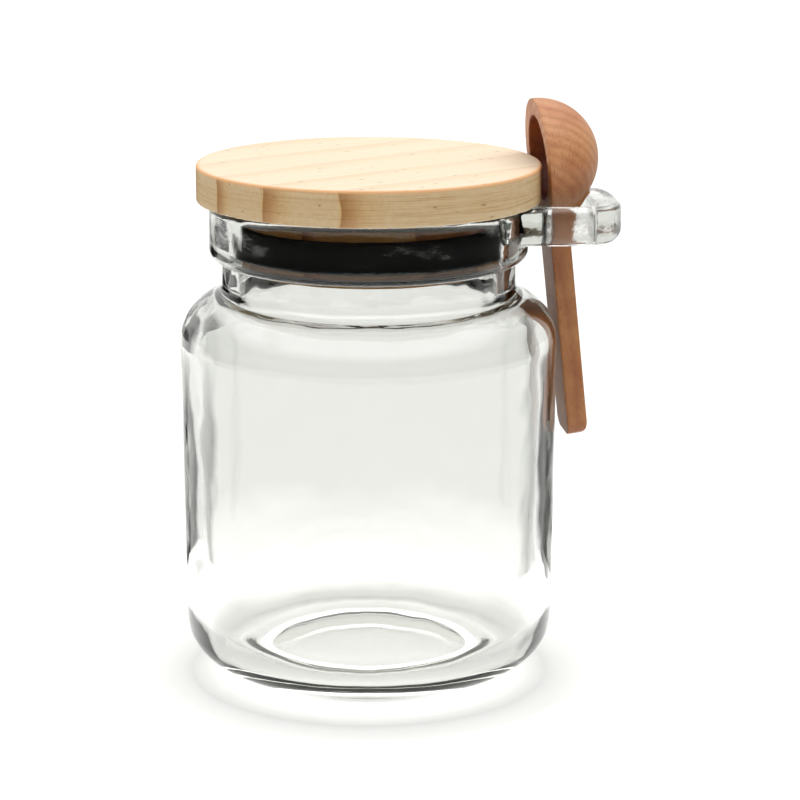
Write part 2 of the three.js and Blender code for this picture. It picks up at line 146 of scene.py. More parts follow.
@dataclass(frozen=True)
class SodaLimeGlass:
    """Soda-lime bottle glass, pressed and blown in an iron mould.

    It is clear, faintly green where it is thick. The blown body's skin is very slightly rippled,
    and that of the collar and the ear, which were pressed, is rougher.
    """

    tint: str = "F0F0EF"
    depth_tint: str = "C0C7B8"
    depth_density: float = 20.0
    ior: float = 1.51
    roughness: float = 0.008
    ear_roughness: float = 0.16
    ear_pitting: float = 5.0
    # Ripples that blowing leaves are millimetres long; the pressed skin's pits are finer.
    ripple_mm: float = 6.0
    ripple_height_mm: float = 0.02
    finish_mm: float = 1.6
    finish_height_mm: float = 0.02
    pressed_fade_mm: float = 0.5
    ear_fade_mm: float = 3.0

    def material(self, centre: Vector, pressed_from: float, ear_from: float) -> Finish:
        """Makes the glass, its skin rippled where it was blown and pitted where it was pressed.

        Args:
            centre: where the jar's axis stands, in metres.
            pressed_from: height above which the glass was pressed, in metres.
            ear_from: distance from the axis at which the ear begins, in metres.

        Returns:
            The material.
        """
        made, add = new_material("soda-lime glass, pressed and blown")
        place = add("TexCoord").outputs["Object"]
        ripple = add(
            "TexNoise", {"Scale": 1 / (self.ripple_mm * MM), "Detail": 2.0, "Roughness": 0.45},
            {"Vector": place},
        )
        pitted = add(
            "TexNoise", {"Scale": 1 / (self.finish_mm * MM), "Detail": 3.0, "Roughness": 0.55},
            {"Vector": place},
        )
        height = add("SeparateXYZ", {}, {"Vector": place})
        pressed = add(
            "MapRange",
            {
                "From Min": pressed_from - self.pressed_fade_mm * MM,
                "From Max": pressed_from + self.pressed_fade_mm * MM,
                "To Max": self.finish_height_mm / self.ripple_height_mm,
            },
            {"Value": height.outputs["Z"]},
        )
        level = add("VectorMath MULTIPLY", {1: (1.0, 1.0, 0.0)}, {0: place})
        from_axis = add("VectorMath DISTANCE", {1: (centre.x, centre.y, 0.0)}, {0: level})
        beyond = add(
            "MapRange", {"From Min": ear_from, "From Max": ear_from + self.ear_fade_mm * MM},
            {"Value": from_axis},
        )
        on_ear = add("Math MULTIPLY", {}, {0: beyond, 1: pressed})
        pitting = add("Math MULTIPLY_ADD", {1: self.ear_pitting}, {0: on_ear, 2: pressed})
        skin = add("Math MULTIPLY_ADD", {}, {0: pitted, 1: pitting, 2: ripple})
        dull = add(
            "MapRange", {"To Min": self.roughness, "To Max": self.ear_roughness}, {"Value": on_ear},
        )
        bump = add(
            "Bump", {"Strength": 1.0, "Distance": self.ripple_height_mm * MM}, {"Height": skin},
        )
        glass = add(
            "BsdfPrincipled",
            {"Base Color": self.tint, "IOR": self.ior, "Transmission Weight": 1.0},
            {"Normal": bump, "Roughness": dull},
        )
        depth = add("VolumeAbsorption", {"Color": self.depth_tint, "Density": self.depth_density})
        add("OutputMaterial", {}, {"Surface": glass, "Volume": depth})
        return made


@dataclass(frozen=True)
class Pine:
    """Radiata pine, sawn and sanded, with no finish on it.

    It is pale and matt; wide growth rings stand upright in it, each dark on one side and fading
    to the other, and the turned edge shows fine lines and small resin flecks.
    """

    pale: str = "E3D1B9"
    middle: str = "DDC3A0"
    amber: str = "C9A47C"
    fading: str = "E4C79C"
    late: str = "B0865F"
    fleck: str = "6E4A2C"
    arris: str = "E2A873"
    # Painted shade: the plug's wood below the disc is darkened and browned with this colour, as the
    # disc's overhang would shade it.
    plug: str = "DDB67C"
    # Painted shade: the upright sides of the disc and plug are darkened with this colour, as the
    # light falls from above.
    edge: str = "DCD1BA"
    fibre_shade: str = "F6ECDC"
    turning_shade: str = "DCCBB2"
    grain_turn: float = 38.0
    ring_mm: float = 14.5
    ring_start_mm: float = 7.1
    sway_mm: float = 5.0
    # Real fibres and turning lines are finer than 0.1 mm, too fine to show, so they are drawn as
    # coarse as they need to show, one to three pixels wide.
    fibre_mm: float = 0.55
    turning_mm: float = 0.28
    fleck_mm: float = 1.1
    fleck_core: float = 0.05
    fleck_rim: float = 0.13
    fleck_share: float = 0.55
    top_paleness: float = 0.8
    fibre_share: float = 0.6
    arris_share: float = 0.8
    edge_wear_mm: float = 0.9
    relief_mm: float = 0.06
    roughness: float = 0.62
    ior: float = 1.45
    shine: float = 0.25

    def material(self, centre: Vector, top: float, radius: float, thickness: float) -> Finish:
        """Makes the wood for a disc with a plug under it.

        Args:
            centre: the disc's centre, in metres.
            top: height of its upper face, in metres.
            radius: its radius, in metres.
            thickness: its thickness, in metres; below it the plug's wood is darkened and browned
                with painted shade, as under the disc's overhang.

        Returns:
            The material.
        """
        made, add = new_material("radiata pine, sawn and sanded")
        place = add("TexCoord").outputs["Object"]
        from_axis = add("VectorMath SUBTRACT", {1: (centre.x, centre.y, top)}, {0: place})
        turned = add(
            "VectorRotate", {"rotation_type": "Z_AXIS", "Angle": math.radians(-self.grain_turn)},
            {"Vector": from_axis},
        )
        here = add("VectorMath SCALE", {"Scale": 1 / MM}, {0: turned})
        along = add("Mapping", {"Scale": (0.02, 0.06, 0.06)}, {"Vector": here})
        sway = add("TexNoise", {"Scale": 1.0, "Detail": 2.0}, {"Vector": along})
        parts = add("SeparateXYZ", {}, {"Vector": here})
        swayed = add("Math MULTIPLY_ADD", {1: self.sway_mm}, {0: sway, 2: parts.outputs["Y"]})
        shifted = add("Math SUBTRACT", {1: self.ring_start_mm}, {0: swayed})
        ring = add("Math DIVIDE", {1: -self.ring_mm}, {0: shifted})
        phase = add("Math FRACT", {}, {0: ring})
        bands = add(
            "ValToRGB",
            {"stops": [
                (0.0, self.late), (0.12, self.amber), (0.24, self.middle), (0.45, self.pale),
                (0.95, self.pale), (0.988, self.fading), (1.0, self.late),
            ]},
            {"Fac": phase},
        )
        stretched = add(
            "Mapping", {"Scale": (0.03, 1 / self.fibre_mm, 0.5 / self.fibre_mm)}, {"Vector": here},
        )
        fibre = add("TexNoise", {"Scale": 1.0, "Detail": 3.0}, {"Vector": stretched})
        facing = add("NewGeometry")
        facing_parts = add("SeparateXYZ", {}, {"Vector": facing.outputs["Normal"]})
        upward = add("Math ABSOLUTE", {}, {0: facing_parts.outputs["Z"]})
        side = add("Math SUBTRACT", {0: 1.0, "use_clamp": True}, {1: upward})
        top_bands = add("Mix", {**BLEND, 0: self.top_paleness, 7: self.pale}, {6: bands})
        # Painted shade darkens the bands on the upright sides.
        shaded_side_bands = add("Mix", {**TINT, 0: 1.0, 7: self.edge}, {6: bands})
        by_face = add("Mix", BLEND, {0: side, 6: top_bands, 7: shaded_side_bands})
        fibre_tone = add(
            "ValToRGB", {"stops": [(0.3, self.fibre_shade), (0.62, "FFFFFF")]}, {"Fac": fibre},
        )
        with_fibre = add("Mix", {**TINT, 0: self.fibre_share}, {6: by_face, 7: fibre_tone})
        level = add("Mapping", {"Scale": (0.05, 0.05, 1 / self.turning_mm)}, {"Vector": here})
        turning = add(
            "TexNoise", {"Scale": 1.0, "Detail": 4.0, "Roughness": 0.7}, {"Vector": level},
        )
        turning_tone = add(
            "ValToRGB", {"stops": [(0.3, self.turning_shade), (0.5, "FFFFFF")]}, {"Fac": turning},
        )
        turned_edge = add("Mix", TINT, {0: side, 6: with_fibre, 7: turning_tone})
        fleck_place = add(
            "Mapping", {"Scale": (0.35 / self.fleck_mm, 1 / self.fleck_mm, 1 / self.fleck_mm)},
            {"Vector": here},
        )
        fleck = add("TexVoronoi", {"Scale": 0.45, "Randomness": 1.0}, {"Vector": fleck_place})
        fleck_mask = add(
            "MapRange",
            {
                "From Min": self.fleck_core, "From Max": self.fleck_rim, "To Min": self.fleck_share,
                "To Max": 0.0,
            },
            {"Value": fleck},
        )
        flecked = add("Mix", {**BLEND, 7: self.fleck}, {0: fleck_mask, 6: turned_edge})
        flat = add("VectorMath MULTIPLY", {1: (1.0, 1.0, 0.0)}, {0: from_axis})
        reach = add("VectorMath LENGTH", {}, {0: flat})
        near_edge = add(
            "MapRange",
            {"From Min": radius - self.edge_wear_mm * MM, "From Max": radius - 0.2 * MM},
            {"Value": reach},
        )
        depth = add("SeparateXYZ", {}, {"Vector": from_axis})
        near_top = add(
            "MapRange", {"From Min": -0.75 * MM, "From Max": -0.3 * MM},
            {"Value": depth.outputs["Z"]},
        )
        arris_mask = add("Math MULTIPLY", {}, {0: near_edge, 1: near_top})
        arris_share = add("Math MULTIPLY", {1: self.arris_share}, {0: arris_mask})
        with_arris = add("Mix", {**BLEND, 7: self.arris}, {0: arris_share, 6: flecked})
        # Painted shade on the plug below the disc, darker and browner.
        shade_below_disc = add(
            "MapRange", {"From Min": -thickness - 0.2 * MM, "From Max": -thickness - 0.6 * MM},
            {"Value": depth.outputs["Z"]},
        )
        with_plug_shade = add("Mix", {**TINT, 7: self.plug}, {0: shade_below_disc, 6: with_arris})
        relief = add("Mix", {"data_type": "FLOAT"}, {0: side, 2: fibre, 3: turning})
        bump = add("Bump", {"Strength": 0.8, "Distance": self.relief_mm * MM}, {"Height": relief})
        wood = add(
            "BsdfPrincipled",
            {"Roughness": self.roughness, "IOR": self.ior, "Specular IOR Level": self.shine},
            {"Base Color": with_plug_shade, "Normal": bump},
        )
        add("OutputMaterial", {}, {"Surface": wood})
        return made


@dataclass(frozen=True)
class Beech:
    """Steamed beech, turned and sanded, with no finish on it.

    It is a warm red-brown, with soft growth rings and short fine dark pores along the grain.
    """

    light: str = "CF976B"
    middle: str = "C88F64"
    dark: str = "BE845A"
    # Painted shade: the wood from the bowl's middle down the handle is darkened with this colour,
    # as the light falls from above.
    handle: str = "D6C8A8"
    # Painted shade: the hollow is darkened with this colour, where little light reaches it.
    hollow: str = "BC8652"
    pore: str = "7A4426"
    cloud: str = "E0C2AC"
    ring_mm: float = 1.9
    sway_mm: float = 4.0
    # Real pores are about 0.06 mm wide, too fine to show, so they are drawn four times as wide.
    pore_mm: float = 0.24
    pore_from: float = 0.56
    pore_full: float = 0.72
    pore_share: float = 0.6
    cloud_mm: float = 6.25
    cloud_share: float = 0.85
    relief_mm: float = 0.08
    heart_mm: Place = (-6.0, -16.0, -16.0)
    roughness: float = 0.5
    ior: float = 1.5

    def material(self, bowl_radius: float, hollow_radius: float) -> Finish:
        """Makes the wood, its grain along the piece's own Z and its bowl about its origin.

        Args:
            bowl_radius: the bowl's radius, in millimetres; below the bowl the wood is darkened with
                painted shade, as the light falls from above.
            hollow_radius: the hollow's radius, in millimetres; in it the wood is darkened with
                painted shade.

        Returns:
            The material.
        """
        made, add = new_material("steamed beech, turned and sanded")
        place = add("TexCoord").outputs["Object"]
        here = add("VectorMath SCALE", {"Scale": 1 / MM}, {0: place})
        straight_below = add(
            "VectorMath MAXIMUM", {1: (-bowl_radius, -bowl_radius, -bowl_radius)}, {0: here},
        )
        from_heart = add("VectorMath SUBTRACT", {1: self.heart_mm}, {0: straight_below})
        wander = add("Mapping", {"Scale": (0.09, 0.09, 0.02)}, {"Vector": here})
        sway = add("TexNoise", {"Scale": 1.0, "Detail": 2.0}, {"Vector": wander})
        flat = add("VectorMath MULTIPLY", {1: (1.0, 1.0, 0.9)}, {0: from_heart})
        reach = add("VectorMath LENGTH", {}, {0: flat})
        swayed = add("Math MULTIPLY_ADD", {1: self.sway_mm}, {0: sway, 2: reach})
        ring = add("Math DIVIDE", {1: self.ring_mm}, {0: swayed})
        phase = add("Math FRACT", {}, {0: ring})
        bands = add(
            "ValToRGB",
            {"stops": [
                (0.0, self.dark), (0.3, self.middle), (0.6, self.light), (0.85, self.middle),
                (1.0, self.dark),
            ]},
            {"Fac": phase},
        )
        cloud = add("TexNoise", {"Scale": 1 / self.cloud_mm, "Detail": 3.0}, {"Vector": here})
        cloud_tone = add(
            "ValToRGB", {"stops": [(0.3, self.cloud), (0.65, "FFFFFF")]}, {"Fac": cloud},
        )
        clouded = add("Mix", {**TINT, 0: self.cloud_share}, {6: bands, 7: cloud_tone})
        pore_place = add(
            "Mapping", {"Scale": (1 / self.pore_mm, 1 / self.pore_mm, 0.16 / self.pore_mm)},
            {"Vector": here},
        )
        pore = add(
            "TexNoise", {"Scale": 1.0, "Detail": 2.0, "Roughness": 0.6}, {"Vector": pore_place},
        )
        pore_mask = add(
            "MapRange",
            {"From Min": self.pore_from, "From Max": self.pore_full, "To Max": self.pore_share},
            {"Value": pore},
        )
        pored = add("Mix", {**BLEND, 7: self.pore}, {0: pore_mask, 6: clouded})
        own = add("SeparateXYZ", {}, {"Vector": here})
        # Painted shade, darker towards the bottom of the bowl and on the handle.
        shade_below_bowl = add(
            "MapRange", {"From Min": 0.5 * bowl_radius, "From Max": -0.6 * bowl_radius},
            {"Value": own.outputs["Z"]},
        )
        with_lower_shade = add("Mix", {**TINT, 7: self.handle}, {0: shade_below_bowl, 6: pored})
        from_centre = add("VectorMath LENGTH", {}, {0: here})
        # Painted shade in the hollow.
        shade_in_hollow = add(
            "MapRange", {"From Min": hollow_radius + 0.5, "From Max": hollow_radius + 0.1},
            {"Value": from_centre},
        )
        with_hollow_shade = add("Mix", {**TINT, 7: self.hollow}, {0: shade_in_hollow, 6: with_lower_shade})
        bump = add("Bump", {"Strength": 0.7, "Distance": self.relief_mm * MM}, {"Height": pore})
        wood = add(
            "BsdfPrincipled", {"Roughness": self.roughness, "IOR": self.ior},
            {"Base Color": with_hollow_shade, "Normal": bump},
        )
        add("OutputMaterial", {}, {"Surface": wood})
        return made


@dataclass(frozen=True)
class Rubber:
    """Black rubber, moulded: near black, with a dull shine and a faint bloom."""

    black: str = "0E0F0D"
    bloom: str = "181915"
    roughness: float = 0.5
    shine: float = 0.16
    ior: float = 1.52
    bloom_mm: float = 6.0
    relief_mm: float = 0.03

    def material(self) -> Finish:
        """Makes the rubber.

        Returns:
            The material.
        """
        made, add = new_material("black rubber, moulded")
        place = add("TexCoord").outputs["Object"]
        cloud = add(
            "TexNoise", {"Scale": 1 / (self.bloom_mm * MM), "Detail": 4.0}, {"Vector": place},
        )
        tone = add("ValToRGB", {"stops": [(0.35, self.black), (0.75, self.bloom)]}, {"Fac": cloud})
        skin = add(
            "MapRange", {"To Min": self.roughness - 0.06, "To Max": self.roughness + 0.12},
            {"Value": cloud},
        )
        bump = add("Bump", {"Strength": 0.5, "Distance": self.relief_mm * MM}, {"Height": cloud})
        rubber = add(
            "BsdfPrincipled", {"IOR": self.ior, "Specular IOR Level": self.shine},
            {"Base Color": tone, "Roughness": skin, "Normal": bump},
        )
        add("OutputMaterial", {}, {"Surface": rubber})
        return made


def arc(
    centre: Point, radii: Point | float, start: float, end: float, step: float = 6.0,
) -> list[Point]:
    """Points on an arc of a circle or an ellipse.

    Args:
        centre: the arc's centre.
        radii: its radii along the first and the second axis, or one for both.
        start: the angle it starts at, in degrees.
        end: the angle it ends at, in degrees.
        step: the largest turn between two points, in degrees.

    Returns:
        The points, both ends included.
    """
    across, up = radii if isinstance(radii, tuple) else (radii, radii)
    count = max(2, math.ceil(abs(end - start) / step))
    angles = [math.radians(start + (end - start) * i / count) for i in range(count + 1)]
    return [(centre[0] + across * math.cos(a), centre[1] + up * math.sin(a)) for a in angles]


def bend(start: Point, turn: Point, end: Point, count: int = 12) -> list[Point]:
    """Points on a smooth bend from one point to another, drawn towards a third.

    Args:
        start: where the bend starts.
        turn: the corner that it rounds.
        end: where it ends.
        count: how many steps it has.

    Returns:
        The points, both ends included.
    """
    made = []
    for i in range(count + 1):
        t = i / count
        weights = ((1 - t) ** 2, 2 * t * (1 - t), t ** 2)
        made.append(tuple(
            sum(w * p[k] for w, p in zip(weights, (start, turn, end))) for k in (0, 1)
        ))
    return made


def spaced(points: list[Point], longest: float) -> list[Point]:
    """Adds points so that no step of a line is too long, and drops points that repeat.

    Args:
        points: the line's points.
        longest: the longest step.

    Returns:
        The new points.
    """
    made = [points[0]]
    for point in points[1:]:
        last = made[-1]
        length = math.dist(last, point)
        if length < 1e-4:
            continue
        count = math.ceil(length / longest)
        for i in range(1, count + 1):
            t = i / count
            made.append((last[0] + (point[0] - last[0]) * t, last[1] + (point[1] - last[1]) * t))
    return made


def mesh_object(name: str, built: BMesh, centre: Vector) -> Piece:
    """Turns a mesh in millimetres into an object in metres.

    Args:
        name: the object's name.
        built: the mesh, about the jar's axis; it is freed.
        centre: where the jar's axis stands, in metres.

    Returns:
        The object, linked to the scene.
    """
    bmesh.ops.recalc_face_normals(built, faces=built.faces)
    built.transform(Matrix.Translation(centre) @ Matrix.Scale(MM, 4))
    data = bpy.data.meshes.new(name)
    built.to_mesh(data)
    built.free()
    made = bpy.data.objects.new(name, data)
    bpy.context.scene.collection.objects.link(made)
    return made


def turned(
    profile: list[Point], steps: int, shift: Callable[[Vector, int], Vector] | None = None,
) -> BMesh:
    """Turns a profile about the Z axis.

    Args:
        profile: points (radius, height); ends at radius 0 close the piece, and other profiles
            close on themselves.
        steps: how many steps the turn has.
        shift: gives each point's place from its first place and its number in the profile.

    Returns:
        The mesh, in millimetres.
    """
    built = bmesh.new()
    rings = []
    for number, (radius, height) in enumerate(profile):
        count = 1 if radius < 1e-6 else steps
        ring = []
        for i in range(count):
            angle = 2 * math.pi * i / steps
            place = Vector((radius * math.cos(angle), radius * math.sin(angle), height))
            ring.append(built.verts.new(shift(place, number) if shift else place))
        rings.append(ring)
    open_ends = len(rings[0]) == 1 and len(rings[-1]) == 1
    pairs = list(zip(rings, rings[1:])) + ([] if open_ends else [(rings[-1], rings[0])])
    for low, high in pairs:
        for i in range(steps):
            j = (i + 1) % steps
            spots = ((low, i), (low, j), (high, j), (high, i))
            built.faces.new(list(dict.fromkeys(ring[k % len(ring)] for ring, k in spots)))
    return built


def smooth(piece: Piece, crease: float = 35.0) -> None:
    """Shades a piece smooth, with sharp edges where its faces turn more than an angle.

    Args:
        piece: the piece.
        crease: the angle, in degrees.
    """
    piece.data.shade_smooth()
    built = bmesh.new()
    built.from_mesh(piece.data)
    for edge in built.edges:
        edge.smooth = len(edge.link_faces) != 2 or edge.calc_face_angle() < math.radians(crease)
    built.to_mesh(piece.data)
    built.free()


def apply_modifiers(piece: Piece) -> None:
    """Makes a piece's modifiers part of its mesh.

    Args:
        piece: the piece.
    """
    graph = bpy.context.evaluated_depsgraph_get()
    data = bpy.data.meshes.new_from_object(piece.evaluated_get(graph))
    old = piece.data
    piece.modifiers.clear()
    piece.data = data
    bpy.data.meshes.remove(old)


def combine(piece: Piece, other: Piece, operation: str) -> None:
    """Joins another solid to a piece or cuts it from it, and removes the other.

    Args:
        piece: the piece that stays.
        other: the solid that is joined or cut away.
        operation: "UNION", "DIFFERENCE" or "INTERSECT".
    """
    before = len(piece.data.polygons)
    kept = piece.data.copy()
    for solver in Solver:
        modifier = piece.modifiers.new("combine", "BOOLEAN")
        modifier.operation = operation
        modifier.object = other
        modifier.solver = solver.value
        apply_modifiers(piece)
        if len(piece.data.polygons) not in (0, before):
            break
        piece.data = kept.copy()
    bpy.data.meshes.remove(kept)
    bpy.data.objects.remove(other)


def dress(piece: Piece, finish: Finish, node: str) -> None:
    """Gives a piece its finish and its place in the frame.

    Args:
        piece: the piece.
        finish: its material.
        node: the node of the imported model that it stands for.
    """
    piece.data.materials.clear()
    piece.data.materials.append(finish)
    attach(piece, "root")
    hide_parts(node)
    LOG.info("%s: %d faces, %s", piece.name, len(piece.data.polygons), finish.name)


@dataclass
class Jar:
    """The glass vessel with its collar and its ear, one piece of glass. Millimetres."""

    centre: Vector
    finish: SodaLimeGlass = SodaLimeGlass()
    steps: int = 224
    longest_step: float = 1.2
    foot_radius: float = 38.6
    top_radius: float = 39.0
    heel_top: float = 13.5
    heel_radius: float = 10.5
    heel_turn: float = 65.5
    standing_inner: float = 20.6
    standing_outer: float = 23.2
    standing_edge: float = 3.0
    push_up: float = 1.7
    shoulder_start: float = 72.2
    shoulder_reach: float = 12.8
    shoulder_rise: float = 10.5
    shoulder_end: float = 60.0
    neck_radius: float = 30.4
    neck_start: float = 83.6
    collar_bottom: float = 88.7
    collar_radius: float = 32.9
    collar_edge: float = 2.5
    rim_top: float = 100.5
    rim_outer_edge: float = 1.6
    rim_inner_edge: float = 1.1
    bore_radius: float = 27.2
    bore_bottom: float = 80.6
    lip_top: float = 1.2
    lip_turn: float = 1.1
    lip_flare: float = 1.6
    lip_fall: float = 1.5
    roof_fall: float = 3.1
    cavity_top_radius: float = 35.2
    cavity_shoulder_start: float = 70.6
    cavity_foot_radius: float = 34.9
    cavity_heel_top: float = 15.5
    cavity_heel_radius: float = 8.6
    floor_edge: float = 6.6
    floor_middle: float = 7.7
    wall_wave: float = 0.15
    wall_wave_length: float = 17.0
    skin_wave: float = 0.05
    skin_wave_length: float = 7.0
    bore_wave: float = 0.18
    bore_wave_rise: float = 2.0
    bore_wave_fade: float = 8.0
    still_middle: float = 12.0
    still_foot: float = 3.0
    foot_fade: float = 6.0
    wave_stretch: float = 0.6
    ripple_size: float = 0.45
    ripple_share: float = 0.35
    crease: float = 40.0

    def outside(self) -> list[Point]:
        """Works out the outer outline.

        Returns:
            Points (radius, height) from the middle of the underside up to the rim.
        """
        push_up = bend(
            (0.0, self.push_up), (self.standing_inner * 0.75, self.push_up),
            (self.standing_inner, 0.0), 16,
        )
        standing = arc(
            (self.standing_outer, self.standing_edge), self.standing_edge,
            -90.0, -self.heel_turn,
        )
        heel = arc(
            (self.foot_radius - self.heel_radius, self.heel_top), self.heel_radius,
            -self.heel_turn, 0.0, 4.0,
        )
        shoulder = arc(
            (self.top_radius - self.shoulder_reach, self.shoulder_start),
            (self.shoulder_reach, self.shoulder_rise), 0.0, self.shoulder_end, 3.0,
        )
        end = shoulder[-1]
        turn = math.radians(self.shoulder_end)
        fall = -self.shoulder_rise * math.cos(turn) / (self.shoulder_reach * math.sin(turn))
        neck_turn = (self.neck_radius, end[1] + fall * (self.neck_radius - end[0]))
        neck = bend(end, neck_turn, (self.neck_radius, self.neck_start), 10)
        collar = arc(
            (self.collar_radius - self.collar_edge, self.collar_bottom + self.collar_edge),
            self.collar_edge, -90.0, 0.0, 9.0,
        )
        rim = arc(
            (self.collar_radius - self.rim_outer_edge, self.rim_top - self.rim_outer_edge),
            self.rim_outer_edge, 0.0, 90.0, 9.0,
        )
        return [*push_up, *standing, *heel, *shoulder, *neck, *collar, *rim]

    def inside(self) -> list[Point]:
        """Works out the inner outline.

        Returns:
            Points (radius, height) from the rim down to the middle of the floor.
        """
        rim = arc(
            (self.bore_radius + self.rim_inner_edge, self.rim_top - self.rim_inner_edge),
            self.rim_inner_edge, 90.0, 180.0, 9.0,
        )
        shoulder = bend(
            (self.bore_radius + self.lip_flare, self.bore_bottom - self.lip_fall),
            (self.cavity_top_radius, self.bore_bottom - self.roof_fall),
            (self.cavity_top_radius, self.cavity_shoulder_start), 16,
        )
        lip = bend(
            (self.bore_radius, self.bore_bottom + self.lip_top),
            (self.bore_radius, self.bore_bottom - self.lip_turn), shoulder[0], 6,
        )
        heel_centre = self.cavity_foot_radius - self.cavity_heel_radius
        heel = arc(
            (heel_centre, self.cavity_heel_top),
            (self.cavity_heel_radius, self.cavity_heel_top - self.floor_edge), 0.0, -90.0, 5.0,
        )
        floor = bend(heel[-1], (heel_centre * 0.6, self.floor_middle), (0.0, self.floor_middle), 12)
        return [*rim, *lip, *shoulder, *heel, *floor]

    def wavy(self, place: Vector, inner: bool) -> Vector:
        """Moves a point of the wall as blowing leaves it: the mould's side even, the other wavy.

        Args:
            place: the point's first place.
            inner: whether it is on the inner wall.

        Returns:
            Its new place.
        """
        across = Vector((place.x, place.y, 0.0))
        if across.length < 1e-6:
            return place
        if inner:
            scale, height = self.wall_wave_length, self.wall_wave
            top = self.bore_bottom + self.bore_wave_rise
            fade = min(1.0, max(0.0, (top - place.z) / self.bore_wave_fade))
            height = self.bore_wave + (height - self.bore_wave) * fade
            height *= min(1.0, across.length / self.still_middle)
            scale -= (scale - self.skin_wave_length) * (1.0 - fade)
        else:
            scale, height = self.skin_wave_length, self.skin_wave
            height *= min(1.0, max(0.0, (place.z - self.still_foot) / self.foot_fade))
        wave = noise.noise(Vector((place.x, place.y, place.z * self.wave_stretch)) / scale)
        ripple = noise.noise(place / (scale * self.ripple_size) + Vector((7.0, 3.0, 1.0)))
        return place + across.normalized() * height * (wave + self.ripple_share * ripple)

    def build(self, ear: "Ear") -> Piece:
        """Builds the jar and joins its ear.

        Args:
            ear: the ear.

        Returns:
            The dressed jar.
        """
        outer = spaced(self.outside(), self.longest_step)
        inner = spaced(self.inside(), self.longest_step)
        wall = turned(
            [*outer, *inner], self.steps,
            lambda place, number: self.wavy(place, number >= len(outer)),
        )
        jar = mesh_object("glass_jar", wall, self.centre)
        combine(jar, ear.solid(), "UNION")
        smooth(jar, self.crease)
        made = self.finish.material(
            self.centre, self.collar_bottom * MM, (self.collar_radius + 0.6) * MM,
        )
        dress(jar, made, "jar")
        return jar


